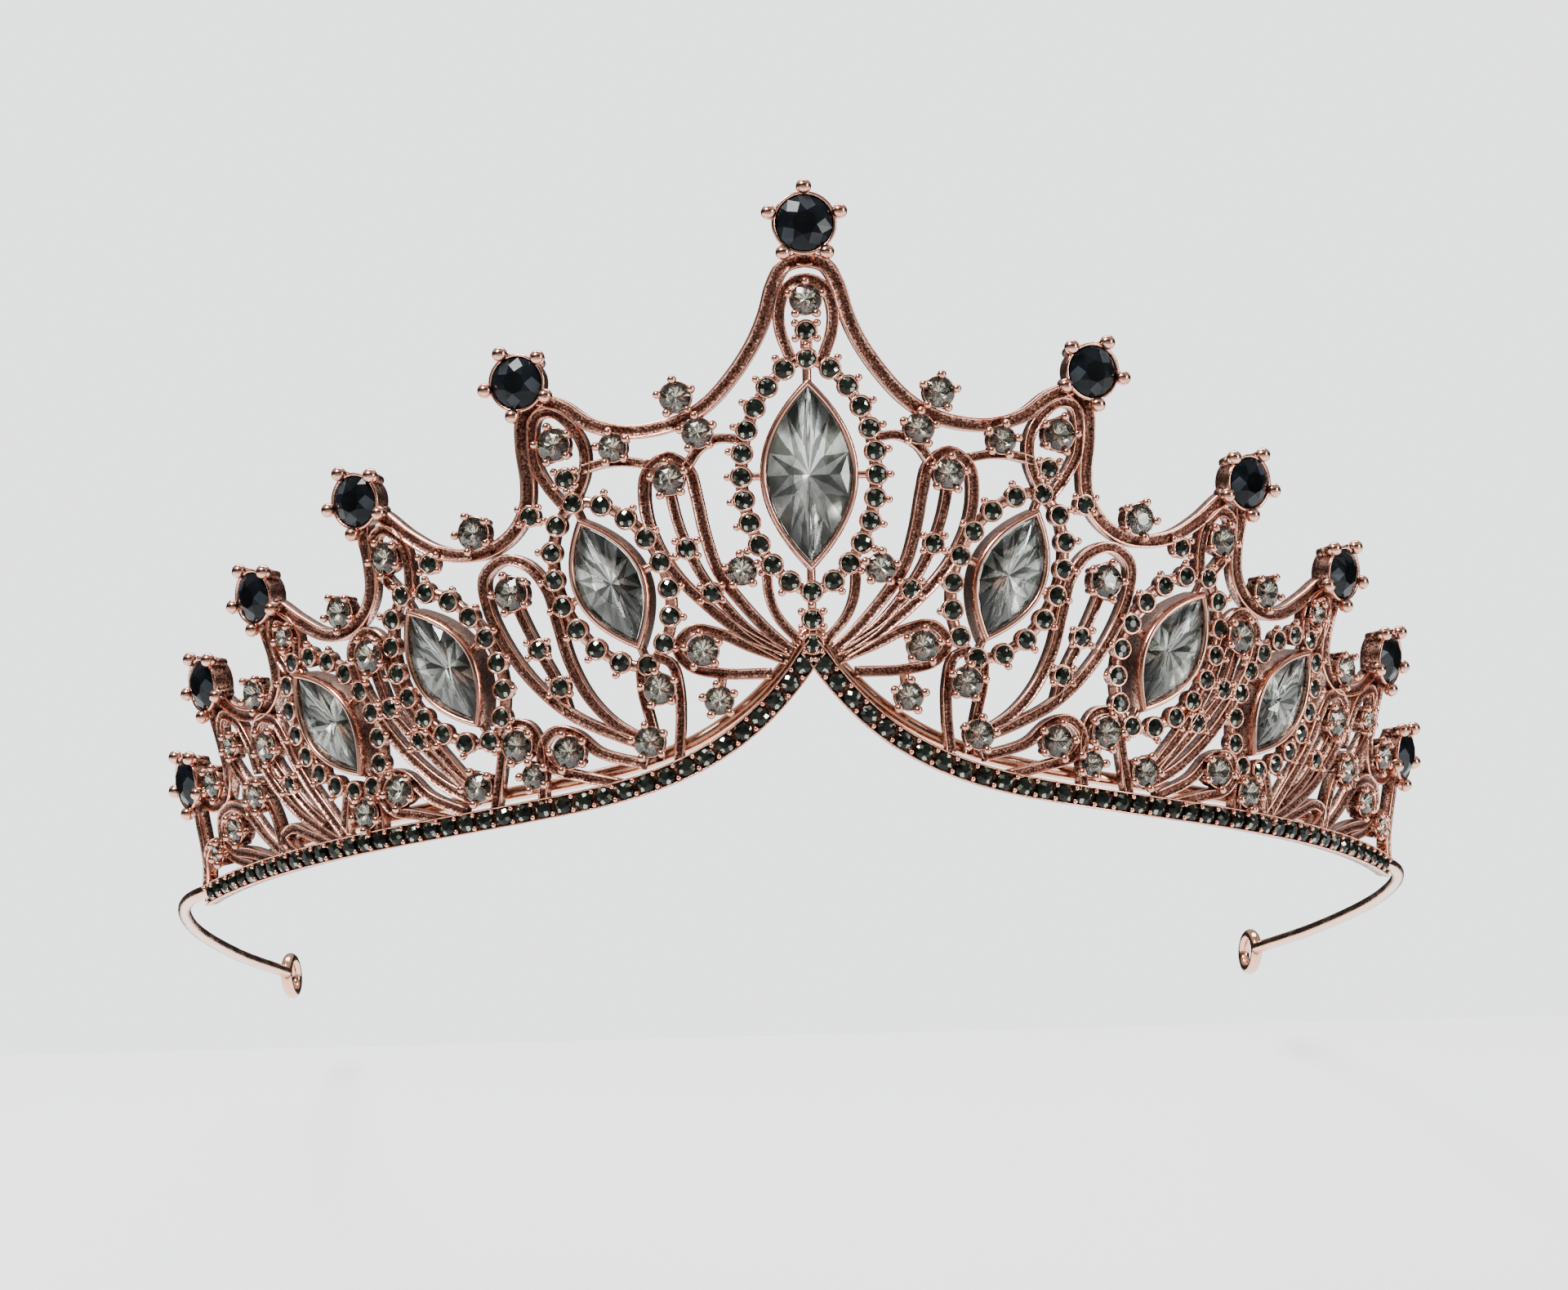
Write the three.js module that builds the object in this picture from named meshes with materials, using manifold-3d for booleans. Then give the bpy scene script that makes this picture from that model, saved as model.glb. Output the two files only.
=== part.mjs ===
// A bridal tiara: one cast openwork crown front, set with stones, on a round-wire headband.
// Millimetres, +Z up. The front faces -Y and the tiara stands on the flat foot of its base band.
// The crown is laid out flat and then bent onto a flared wall: u runs along the base circle from
// the centre, v runs up the sloping wall, and w stands out from the middle of its thickness.
import * as THREE from "three";
import { mergeVertices } from "three/addons/utils/BufferGeometryUtils.js";
import Module from "manifold-3d";

const wasm = await Module();
wasm.setup();

// Head circle under the front faces, and the wall whose middle lies a little inside it
const HEAD_RADIUS = 76.2;
const WALL_SETBACK = 0.7;
const WALL_RADIUS = HEAD_RADIUS - WALL_SETBACK;
const FLARE = THREE.MathUtils.degToRad(10);
const LEAN = THREE.MathUtils.degToRad(3);
const CASTING_THICKNESS = 1.6;
const RIBBON_WIDTH = 1.35;
const RIBBON_STEP = 6;

// Base band
const BAND_HALF_LENGTH = 91;
const BAND_HALF_WIDTH = 1.2;
const FOOT_DEPTH = 0.35;
const FLAT_FROM = 30;

// Settings
const PEAK_CUP_RADIUS = 3.25;
const CENTRE_CUP_RADIUS = 3.5;
const PEAK_CUP_WALL = 0.35;
const PEAK_CUP_HEIGHT = 2.0;
const PEAK_CUP_TURN = THREE.MathUtils.degToRad(-25);
const LUG_LENGTH = 0.95;
const BEZEL_WALL = 0.6;
const BEZEL_BACK = 2.6;
const BEZEL_FRONT = 1.5;
const BEZEL_POINT = 2;
const HALO_WIDTH = 1.9;
const BAR_WIDTH = 1;
const HALO_POINT = 1.25;
const SEAT_RADIUS = 2.0;
const STONE_BACK = 1.1;
const PEAK_STONE_DEPTH = 2.0;
const ROUND_STONE_DEPTH = 1.6;
const STONE_GAP = 0.3;

// Headband wire
const WIRE_RADIUS = 0.8;
const WIRE_SETBACK = 1.95;
const WIRE_RISE = 2.4;
const LOOP_BACK = 76;
const LOOP_LENGTH = 6;
const LOOP_HEIGHT = 6.4;

const COPPER = new THREE.MeshStandardMaterial({ color: 0xa8776a, roughness: 0.35, metalness: 1 });
const WIRE_COPPER = new THREE.MeshStandardMaterial({ color: 0xc98a68, roughness: 0.25, metalness: 1 });
const JET = new THREE.MeshStandardMaterial({ color: 0x101214, roughness: 0.08, metalness: 0.1 });
const GREY_CRYSTAL = new THREE.MeshStandardMaterial({ color: 0x8d9396, roughness: 0.06, metalness: 0.5 });
const CHAMPAGNE = new THREE.MeshStandardMaterial({ color: 0x9b958a, roughness: 0.08, metalness: 0.4 });

// Bends a laid-out point (u, v, w) onto the flared wall and leans it so the foot lies level.
function onWall(u, v, w) {
  const heading = u / HEAD_RADIUS;
  const reach = WALL_RADIUS + v * Math.sin(FLARE) + w * Math.cos(FLARE);
  const height = v * Math.cos(FLARE) - w * Math.sin(FLARE);
  return lean(reach * Math.sin(heading), -reach * Math.cos(heading), height);
}

function lean(x, y, z) {
  const level = z * Math.cos(LEAN) + y * Math.sin(LEAN) + FOOT_LEVEL;
  return new THREE.Vector3(x, y * Math.cos(LEAN) - z * Math.sin(LEAN), level);
}

// The flared wall is longer round its top than along the base circle; this narrows a laid-out
// circle at height v so that it comes out round.
function narrowing(v) {
  return HEAD_RADIUS / (WALL_RADIUS + v * Math.sin(FLARE));
}

// Height up the wall of the level plane under the outer part of the band.
function levelV(u) {
  const across = WALL_RADIUS * Math.cos(u / HEAD_RADIUS) * Math.sin(LEAN) - FOOT_LEVEL;
  return across / (Math.cos(FLARE) * Math.cos(LEAN));
}

const FOOT_LEVEL = WALL_RADIUS * Math.cos(BAND_HALF_LENGTH / HEAD_RADIUS) * Math.sin(LEAN) - 0.2;

// Centre line of the base band: level outside, rising to a pointed arch at the centre.
function bandV(u) {
  const away = Math.abs(u);
  const arch = 16.6 * Math.exp(-away / 10.4);
  return levelV(Math.max(away, FLAT_FROM)) + BAND_HALF_WIDTH - FOOT_DEPTH + arch;
}

// Solids: each three.js geometry becomes a manifold so that touching pieces join.
function solidOf(geometry) {
  const bare = geometry.clone();
  bare.deleteAttribute("normal");
  bare.deleteAttribute("uv");
  const merged = mergeVertices(bare, 1e-4);
  return new wasm.Manifold(
    new wasm.Mesh({
      numProp: 3,
      vertProperties: new Float32Array(merged.attributes.position.array),
      triVerts: new Uint32Array(merged.index.array),
    }),
  );
}

function joined(solids) {
  let row = solids;
  while (row.length > 1) {
    const next = [];
    for (let i = 0; i < row.length; i += 2) {
      next.push(i + 1 < row.length ? row[i].add(row[i + 1]) : row[i]);
    }
    row = next;
  }
  return row[0];
}

function geometryOf(solid) {
  const mesh = solid.getMesh();
  const geometry = new THREE.BufferGeometry();
  geometry.setAttribute("position", new THREE.BufferAttribute(new Float32Array(mesh.vertProperties), 3));
  geometry.setIndex(new THREE.BufferAttribute(new Uint32Array(mesh.triVerts), 1));
  return geometry;
}

function bent(geometry) {
  const spots = geometry.attributes.position;
  for (let i = 0; i < spots.count; i += 1) {
    const p = onWall(spots.getX(i), spots.getY(i), spots.getZ(i));
    spots.setXYZ(i, p.x, p.y, p.z);
  }
  return geometry;
}

function namedMesh(name, geometry, material) {
  const faceted = geometry.index ? geometry.toNonIndexed() : geometry;
  faceted.computeVertexNormals();
  const mesh = new THREE.Mesh(faceted, material);
  mesh.name = name;
  return mesh;
}

// Flat strip of the casting along a smooth line through (u, v) points.
function ribbon(points, width = RIBBON_WIDTH, low = -CASTING_THICKNESS / 2, high = CASTING_THICKNESS / 2) {
  const line = new THREE.CatmullRomCurve3(points.map(([u, v]) => new THREE.Vector3(u, v, 0)));
  const section = new THREE.Shape();
  section.moveTo(-high, -width / 2);
  section.lineTo(-low, -width / 2);
  section.lineTo(-low, width / 2);
  section.lineTo(-high, width / 2);
  section.closePath();
  const steps = Math.max(2, Math.round(line.getLength() / RIBBON_STEP));
  return solidOf(new THREE.ExtrudeGeometry(section, { steps, extrudePath: line, bevelEnabled: false }));
}

function slab(shape, low, high) {
  const depth = high - low;
  const plate = new THREE.ExtrudeGeometry(shape, { depth, bevelEnabled: false, curveSegments: 1 });
  plate.translate(0, 0, low);
  return solidOf(plate);
}

function roundAbout(u, v, radius, angle) {
  return new THREE.Vector2(u + radius * Math.cos(angle) * narrowing(v), v + radius * Math.sin(angle));
}

function polygon(u, v, radius, sides, turn = 0) {
  const corners = [];
  for (let i = 0; i < sides; i += 1) {
    const angle = turn + (i * 2 * Math.PI) / sides;
    corners.push(roundAbout(u, v, radius, angle));
  }
  return corners;
}

function disc(u, v, radius, low, high, sides = 8) {
  return slab(new THREE.Shape(polygon(u, v, radius, sides, Math.PI / sides)), low, high);
}

// Pointed oval about (u, v): its long half-axis leans away from +v by tilt degrees, and a higher
// point makes its tips sharper.
function almond(site, halfWidth, halfLength, sides, point) {
  const tilt = THREE.MathUtils.degToRad(site.tilt);
  const corners = [];
  for (let i = 0; i < sides; i += 1) {
    const angle = (i * 2 * Math.PI) / sides;
    const across = Math.sign(Math.cos(angle)) * halfWidth * Math.abs(Math.cos(angle)) ** point;
    const along = halfLength * Math.sin(angle);
    corners.push(
      new THREE.Vector2(
        site.u + across * Math.cos(tilt) + along * Math.sin(tilt),
        site.v - across * Math.sin(tilt) + along * Math.cos(tilt),
      ),
    );
  }
  return corners;
}

function almondRing(site, halfWidth, halfLength, { wall, sides, point }, low, high) {
  const tip = (wall / 2) * point;
  const shape = new THREE.Shape(almond(site, halfWidth + wall / 2, halfLength + tip, sides, point));
  shape.holes.push(new THREE.Path(almond(site, halfWidth - wall / 2, halfLength - tip, sides, point)));
  return slab(shape, low, high);
}

const turnedSite = (site, side) => ({ ...site, u: side * site.u, tilt: side * site.tilt });
const mirrored = (points) => points.map(([u, v]) => [-u, v]);
const bothSides = (make) => [make(1), make(-1)];

// Peaks, marquise sites and round settings of one half
const CENTRE_PEAK = [0, 66.2];
const PEAKS = [
  [28.7, 50.9],
  [48.6, 40.6],
  [65.3, 32.5],
  [78.0, 24.5],
  [86.6, 14.3],
];
const CENTRE_MARQUISE = {
  u: 0, v: 38.9, tilt: 0, halfWidth: 4.5, halfLength: 9.9, haloWidth: 6.85, haloLength: 12.7,
};
const MARQUISES = [
  { u: 20.9, v: 28.1, tilt: 20.5, halfWidth: 3.5, halfLength: 7.3, haloWidth: 5.75, haloLength: 9.75 },
  { u: 40.6, v: 20.8, tilt: 27.5, halfWidth: 3.5, halfLength: 7.3, haloWidth: 5.9, haloLength: 9.75 },
  { u: 57.2, v: 16.6, tilt: 32.5, halfWidth: 3.4, halfLength: 7.1, haloWidth: 5.7, haloLength: 9.2 },
];
const CENTRE_ROUND = [0, 58.0, 1.7];
const ROUNDS = {
  crest_1: [13.0, 47.9, 1.65],
  crest_2: [35.3, 35.1, 1.7],
  crest_3: [53.3, 28.7, 1.7],
  crest_4: [69.0, 21.8, 1.7],
  crest_5: [81.1, 13.2, 1.7],
  leaf_1: [14.1, 39.0, 1.6],
  leaf_2: [31.7, 28.0, 1.8],
  leaf_3: [50.0, 23.3, 1.8],
  leaf_4: [68.1, 15.6, 1.7],
  peak_1: [25.7, 43.8, 1.6],
  peak_2: [46.3, 33.8, 1.6],
  petal_1: [11.5, 20.2, 1.6],
  petal_2: [26.7, 10.1, 1.7],
  petal_3: [48.1, 7.9, 1.6],
};
// Crest line: from peak to peak, then down to the end of the band
const CREST = [
  [[-0.6, 62.5], [1.9, 61.8], [3.1, 59.6], [3.9, 56.6], [5.2, 53.4], [7.4, 49.9], [10, 47], [13, 45.2],
    [18, 44.5], [22, 45.7], [24.7, 47.9], [27.4, 49.2]],
  [[27, 48.9], [28.8, 47.2], [29.2, 44], [29, 40], [29.4, 37.2], [31, 34.7], [33.6, 33.1], [36.6, 32.8],
    [40, 33.6], [43.4, 35.8], [46.4, 38.5], [48.6, 39.6]],
  [[48.6, 39.2], [49.1, 37], [48.8, 33.5], [49.1, 30.2], [50.7, 27.8], [53.4, 26.5], [56.5, 26.7],
    [60.2, 28.8], [63.6, 31.2], [66.4, 32]],
  [[66, 31.8], [66, 29], [65.2, 25.5], [65.3, 22.6], [67, 20.4], [70, 19.6], [73.5, 20.3], [76.5, 22.2],
    [80, 24]],
  [[79.8, 23.8], [79.3, 21], [78.5, 17.5], [78.1, 13.8], [79.5, 11.3], [82.6, 10.7], [86, 11.8],
    [88.2, 12.8]],
  [[88.2, 12.8], [88.6, 10.4], [88.4, 7.4], [88.6, 4.6], [90, 2]],
];
// Small drop loops that hang under the peaks
const DROPS = [
  [[-0.5, 60.3], [0.9, 60.1], [1.9, 59.2], [2.6, 57], [2.5, 54.6], [1.5, 51.4]],
  [[24.3, 37.2], [22.9, 40.4], [22.7, 43], [23.7, 45.4], [25.6, 47.3], [27.4, 47.2], [28.1, 45.2], [28, 42],
    [26.9, 39.4], [25.2, 36.9]],
  [[44, 29.4], [43.8, 32.6], [44.4, 35.2], [46.3, 37.1], [47.8, 36.5], [48, 34.2], [47.2, 32], [45.2, 29.6]],
  [[61.2, 24.2], [60.9, 27], [62, 29.2], [64, 29.9], [64.9, 28], [64.4, 25.6], [63, 23.4]],
  [[71.4, 13], [72.4, 16.4], [74.6, 19.6], [77.4, 20.6], [78.3, 18.6], [77, 15.2], [74.2, 11.8]],
];
// Tall leaf loops with a middle rib, one between each two modules
const LEAVES = [
  [[2.2, 19.7], [4.6, 22], [7.4, 25.4], [9.6, 28.8], [10.8, 33], [11.5, 37.2], [12.2, 40], [14.2, 41.5],
    [16.3, 40], [16.8, 37], [16.2, 33.2], [14.2, 29], [11.2, 25.4], [7.4, 22], [3, 19.2]],
  [[18.2, 10.6], [21.6, 12.9], [24.2, 16], [26, 20], [27, 24.4], [27.8, 28], [29.8, 30.9], [32.6, 31.8],
    [34.8, 30.2], [34.8, 27], [33.2, 22.6], [30.4, 18.2], [26.6, 14.4], [22.6, 12.1], [18.2, 10.2]],
  [[38.4, 6.6], [41.2, 10], [43.8, 13.4], [46.2, 17.4], [47.6, 21.4], [48.6, 24.9], [50.6, 26.1],
    [52.6, 24.6], [52.6, 21.6], [50.8, 17.4], [48, 13.2], [44.6, 9.6], [41.4, 7.2], [38.4, 5.8]],
  [[57, 3.2], [60, 7.2], [62.4, 10.4], [64, 13], [65.4, 16], [67, 18.4], [69.4, 18.9], [71, 17], [70.2, 13.8],
    [68, 10.6], [65, 7.6], [61.6, 5.2], [57.6, 2.8]],
  [[68, 2.6], [72, 5.8], [74.8, 8.6], [78, 10.1], [81.4, 9.4], [82.2, 7], [80, 5.2], [75.4, 4.1], [70, 2.4]],
];
const RIBS = [
  [[14.2, 38], [13.6, 34.6], [12.7, 31.6], [11.4, 28.6], [9.6, 25.8], [6.6, 22.2], [3, 19.6]],
  [[31.8, 27.6], [30.6, 24.4], [29.4, 21.6], [27.4, 17.3], [26.6, 14.4]],
  [[50.4, 23.4], [49.6, 20.4], [48.5, 17.2], [46.6, 14.6], [44.8, 12.6], [42, 9.6], [39, 6.8]],
  [[69, 15.8], [67.4, 13], [65.6, 10.8], [63.4, 8.2], [60.2, 5.4]],
];
// Low petal loops that lie along the band
const PETALS = [
  [[2.6, 18.8], [6.6, 20.4], [9.8, 22], [12.6, 22.5], [14.2, 20.6], [12.8, 18.5], [9.4, 17.6], [4.4, 17.4]],
  [[18.4, 8.2], [23.4, 9.8], [26, 12], [28.4, 12.5], [30, 10.8], [29, 8.6], [25.8, 7.4], [21.4, 6.2]],
  [[40, 4.6], [44.6, 6.8], [47.4, 9.4], [50, 9.8], [51.2, 8], [50, 6], [46.4, 5], [42, 3.8]],
  [[59.4, 3], [63.6, 4.8], [66.2, 5.8], [68.2, 5], [66.6, 3.2], [63, 2.2]],
];
// Short ties between loops, haloes and band
const TIES = [
  [[6.9, 43], [9, 43.2], [11, 42.2], [12.4, 40.2]],
  [[16.2, 40.8], [18.6, 41.3], [21, 41.3], [23.2, 40.8]],
  [[4.6, 28.4], [4.4, 25.8], [3.5, 23.4], [1.2, 20.6]],
  [[14.8, 8.4], [14.3, 12.6], [14.3, 16.4], [15, 19], [16.8, 19.9]],
  [[18.3, 18.8], [18.2, 16], [17.6, 13], [16.8, 8.4]],
  [[30.4, 4.8], [30.2, 8.6], [30.3, 11.4], [31.4, 13.4], [33.8, 13.9]],
  [[34.4, 12], [35.2, 8.6], [36.3, 4.4]],
  [[52, 3], [51.8, 6.2], [52.8, 9]],
  [[56.2, 8.6], [57, 6], [57.8, 2.8]],
  [[68.6, 3], [69.2, 7], [70.8, 10.4], [72.6, 12.2], [74.6, 11.4], [74.6, 8.4]],
  [[75, 2.6], [80, 4.2], [84, 6.6], [87, 6.2], [88.4, 5]],
];

function band() {
  const half = [];
  for (let u = -3; u < BAND_HALF_LENGTH; u += u < 22 ? 2.5 : 5) {
    half.push([u, bandV(Math.max(u, 0)) + Math.min(u, 0)]);
  }
  half.push([BAND_HALF_LENGTH, bandV(BAND_HALF_LENGTH)]);
  return half;
}

// Round cup on a solid seat, with five lugs round it for the prongs
function peakCup([u, v], radius, turn) {
  const outline = [];
  const tip = radius + LUG_LENGTH;
  for (let i = 0; i < 5; i += 1) {
    const angle = turn + Math.PI / 2 + (i * 2 * Math.PI) / 5;
    for (const [aside, distance] of [[-0.24, radius], [-0.14, tip], [0.14, tip], [0.24, radius]]) {
      outline.push(roundAbout(u, v, distance, angle + aside));
    }
  }
  const rim = new THREE.Shape(outline);
  rim.holes.push(new THREE.Path(polygon(u, v, radius - PEAK_CUP_WALL, 8)));
  const base = slab(new THREE.Shape(outline), -CASTING_THICKNESS / 2, CASTING_THICKNESS / 2);
  return [base, slab(rim, CASTING_THICKNESS / 2, PEAK_CUP_HEIGHT)];
}

// Bezel, halo rail and the four short bars between them
function marquiseSetting(site, sides) {
  const half = CASTING_THICKNESS / 2;
  const { halfWidth, halfLength, haloWidth, haloLength } = site;
  const bezelForm = { wall: BEZEL_WALL, sides: 12, point: BEZEL_POINT };
  const haloForm = { wall: HALO_WIDTH, sides, point: HALO_POINT };
  const bezel = almondRing(site, halfWidth, halfLength, bezelForm, -BEZEL_BACK, BEZEL_FRONT);
  const rail = almondRing(site, haloWidth, haloLength, haloForm, -half, half);
  const tilt = THREE.MathUtils.degToRad(site.tilt);
  const at = (across, along) => [
    site.u + across * Math.cos(tilt) + along * Math.sin(tilt),
    site.v - across * Math.sin(tilt) + along * Math.cos(tilt),
  ];
  const bars = [
    [at(0, halfLength), at(0, haloLength)],
    [at(0, -halfLength), at(0, -haloLength)],
    [at(halfWidth, 0), at(haloWidth, 0)],
    [at(-halfWidth, 0), at(-haloWidth, 0)],
  ].map((ends) => ribbon(ends, BAR_WIDTH));
  return [bezel, rail, ...bars];
}

function casting() {
  const half = CASTING_THICKNESS / 2;
  const solids = [];
  const lines = [...CREST, ...DROPS, ...LEAVES, ...RIBS, ...PETALS, ...TIES];
  for (const side of [1, -1]) {
    const turned = (points) => (side > 0 ? points : mirrored(points));
    solids.push(...lines.map((points) => ribbon(turned(points))));
    solids.push(ribbon(turned(band()), 2 * BAND_HALF_WIDTH));
    solids.push(...PEAKS.flatMap(([u, v]) => peakCup([side * u, v], PEAK_CUP_RADIUS, side * PEAK_CUP_TURN)));
    solids.push(
      ...MARQUISES.flatMap((site) => marquiseSetting(turnedSite(site, side), 14)),
    );
    solids.push(...Object.values(ROUNDS).map(([u, v]) => disc(side * u, v, SEAT_RADIUS, -half, half, 6)));
  }
  solids.push(...peakCup(CENTRE_PEAK, CENTRE_CUP_RADIUS, 0));
  solids.push(...marquiseSetting(CENTRE_MARQUISE, 20));
  solids.push(disc(CENTRE_ROUND[0], CENTRE_ROUND[1], SEAT_RADIUS, -half, half));
  solids.push(disc(0, 54.6, 1.2, -half, half, 6));
  solids.push(ribbon([[0, 54], [0, 51]], 1.2));
  solids.push(ribbon([[0, 62.2], [0, 65]], 2.6));
  solids.push(ribbon([[0, 27], [0, 19.4]], 2));
  const laidOut = joined(solids);
  const wall = solidOf(bent(geometryOf(laidOut)));
  const below = new THREE.BoxGeometry(400, 400, 20).translate(0, 0, -10);
  return geometryOf(wall.subtract(solidOf(below)));
}

// Cut round stone: flat back, belt, sloping crown and a flat table
function roundStone([u, v], radius, depth) {
  const profile = [
    new THREE.Vector2(0, 0),
    new THREE.Vector2(radius * 0.55, 0),
    new THREE.Vector2(radius, depth * 0.55),
    new THREE.Vector2(radius * 0.6, depth),
    new THREE.Vector2(0, depth),
  ];
  const stone = new THREE.LatheGeometry(profile, 8);
  stone.rotateX(Math.PI / 2);
  stone.scale(narrowing(v), 1, 1);
  stone.translate(u, v, STONE_BACK);
  return bent(closedStone(stone));
}

function closedStone(geometry) {
  return geometryOf(solidOf(geometry));
}

// Pointed oval stone with a flat table
function marquiseStone(site) {
  const rings = [
    [0.5, -1.9],
    [1, -0.2],
    [1, 0.2],
    [0.62, 1.4],
  ];
  const inset = BEZEL_WALL / 2 + STONE_GAP;
  const width = site.halfWidth - inset;
  const length = site.halfLength - inset * BEZEL_POINT;
  const sides = 8;
  const spots = [];
  rings.forEach(([grow, w]) =>
    almond(site, width * grow, length * grow, sides, BEZEL_POINT).forEach((c) => spots.push(c.x, c.y, w)),
  );
  spots.push(site.u, site.v, rings[0][1], site.u, site.v, rings[3][1]);
  const faces = [];
  for (let i = 0; i < sides; i += 1) {
    const j = (i + 1) % sides;
    for (let r = 0; r < rings.length - 1; r += 1) {
      const a = r * sides + i;
      const b = r * sides + j;
      faces.push(a, b, b + sides, a, b + sides, a + sides);
    }
    faces.push(j, i, 4 * sides);
    faces.push(3 * sides + i, 3 * sides + j, 4 * sides + 1);
  }
  const stone = new THREE.BufferGeometry();
  stone.setAttribute("position", new THREE.BufferAttribute(new Float32Array(spots), 3));
  stone.setIndex(faces);
  return bent(closedStone(stone));
}

// Round wire behind the band, then back along each side to a flat oval loop
function wireAlong(line, steps) {
  const section = new THREE.Shape();
  for (let i = 0; i < 6; i += 1) {
    const angle = (i * Math.PI) / 3;
    const corner = [WIRE_RADIUS * Math.cos(angle), WIRE_RADIUS * Math.sin(angle)];
    if (i === 0) section.moveTo(...corner);
    else section.lineTo(...corner);
  }
  section.closePath();
  return solidOf(new THREE.ExtrudeGeometry(section, { steps, extrudePath: line, bevelEnabled: false }));
}

function wireRun() {
  const spots = [];
  const armEnd = lean(68.6, LOOP_BACK - LOOP_LENGTH, 2.9);
  const armMiddle = lean(76.0, 8, 2.2);
  for (const side of [-1, 1]) {
    const arm = [
      new THREE.Vector3(side * armEnd.x, armEnd.y, armEnd.z),
      new THREE.Vector3(side * 73.2, 45, lean(0, 45, 2.6).z),
      new THREE.Vector3(side * armMiddle.x, armMiddle.y, armMiddle.z),
      new THREE.Vector3(side * 73.8, -16, lean(0, -16, 2.2).z),
    ];
    const front = [];
    for (const u of [88, 74, 60, 46, 34, 25, 18, 12, 7, 3]) {
      front.push(onWall(side * u, bandV(u) + WIRE_RISE * Math.min(1, (100 - u) / 34), -WIRE_SETBACK));
    }
    const half = [...arm, ...front];
    if (side < 0) spots.push(...half, onWall(0, bandV(0) + WIRE_RISE * 0.9, -WIRE_SETBACK));
    else spots.push(...half.reverse());
  }
  const line = new THREE.CatmullRomCurve3(spots);
  return wireAlong(line, 64);
}

function endLoop(side) {
  const start = lean(68.6, LOOP_BACK - LOOP_LENGTH, 2.9);
  const spots = [];
  for (let i = 0; i <= 12; i += 1) {
    const angle = -Math.PI + (i * 2 * Math.PI) / 12;
    const back = start.y + (LOOP_LENGTH / 2) * (1 + Math.cos(angle));
    const up = start.z + (LOOP_HEIGHT / 2 - WIRE_RADIUS) * Math.sin(angle);
    spots.push(new THREE.Vector3(side * (start.x - 0.16 * (back - start.y)), back, up));
  }
  spots[0].add(new THREE.Vector3(0, -0.5, -0.2));
  spots[12].add(new THREE.Vector3(0, -0.9, 0.2));
  const line = new THREE.CatmullRomCurve3(spots);
  return wireAlong(line, 14);
}

function headbandWire() {
  return geometryOf(joined([wireRun(), ...bothSides(endLoop)]));
}

const tiara = new THREE.Group();
tiara.add(namedMesh("crown_casting", casting(), COPPER));
tiara.add(namedMesh("headband_wire", headbandWire(), WIRE_COPPER));

// A peak stone leaves a gap all round inside its cup.
const peakStone = (place, cup) => roundStone(place, cup - PEAK_CUP_WALL - STONE_GAP, PEAK_STONE_DEPTH);
const smallStone = (place, radius) => roundStone(place, radius, ROUND_STONE_DEPTH);
tiara.add(namedMesh("jet_stone_centre", peakStone(CENTRE_PEAK, CENTRE_CUP_RADIUS), JET));
tiara.add(namedMesh("marquise_centre", marquiseStone(CENTRE_MARQUISE), GREY_CRYSTAL));
tiara.add(namedMesh("round_stone_centre", smallStone(CENTRE_ROUND, CENTRE_ROUND[2]), CHAMPAGNE));
for (const [side, hand] of [[1, "left"], [-1, "right"]]) {
  PEAKS.forEach(([u, v], i) => {
    const stone = peakStone([side * u, v], PEAK_CUP_RADIUS);
    tiara.add(namedMesh(`jet_stone_${hand}_${i + 1}`, stone, JET));
  });
  MARQUISES.forEach((site, i) => {
    const stone = marquiseStone(turnedSite(site, side));
    tiara.add(namedMesh(`marquise_${hand}_${i + 1}`, stone, GREY_CRYSTAL));
  });
  for (const [place, [u, v, radius]] of Object.entries(ROUNDS)) {
    const stone = smallStone([side * u, v], radius);
    tiara.add(namedMesh(`round_stone_${place}_${hand}`, stone, CHAMPAGNE));
  }
}

// The origin is the middle of the footprint, on the level the tiara stands on.
const reach = new THREE.Box3().setFromObject(tiara);
const middle = (reach.min.y + reach.max.y) / 2;
const centred = new THREE.Group();
tiara.position.set(0, -middle, -reach.min.z);
centred.add(tiara);

export default centred;
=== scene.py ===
"""Looks of the bridal tiara: casting, stones and headband wire in fine mesh, with camera and light."""

import math

import bpy
from mathutils import Matrix, Vector


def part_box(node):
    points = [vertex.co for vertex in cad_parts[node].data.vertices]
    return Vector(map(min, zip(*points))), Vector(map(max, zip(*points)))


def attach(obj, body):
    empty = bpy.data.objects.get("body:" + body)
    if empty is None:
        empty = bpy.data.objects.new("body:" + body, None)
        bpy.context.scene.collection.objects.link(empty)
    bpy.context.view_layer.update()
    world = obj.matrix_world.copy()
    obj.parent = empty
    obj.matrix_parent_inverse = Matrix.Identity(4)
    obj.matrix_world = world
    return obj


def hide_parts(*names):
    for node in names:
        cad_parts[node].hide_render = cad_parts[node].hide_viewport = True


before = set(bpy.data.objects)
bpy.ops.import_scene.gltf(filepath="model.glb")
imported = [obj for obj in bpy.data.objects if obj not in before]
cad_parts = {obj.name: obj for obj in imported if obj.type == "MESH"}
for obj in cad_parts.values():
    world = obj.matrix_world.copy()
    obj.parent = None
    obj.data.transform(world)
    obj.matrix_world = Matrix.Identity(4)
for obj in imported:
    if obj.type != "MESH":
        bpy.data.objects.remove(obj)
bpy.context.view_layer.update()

# ---------------------------------------------------------------- sizes (millimetres)
MM = 0.001
HEAD_RADIUS = 76.2
WALL_SETBACK = 0.7
WALL_RADIUS = HEAD_RADIUS - WALL_SETBACK
FLARE = math.radians(10)
LEAN = math.radians(3)
BAND_HALF_LENGTH = 91.0
BAND_HALF_WIDTH = 1.2
FOOT_DEPTH = 0.35
FLAT_FROM = 30.0
ARCH_HEIGHT = 16.6
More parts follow.
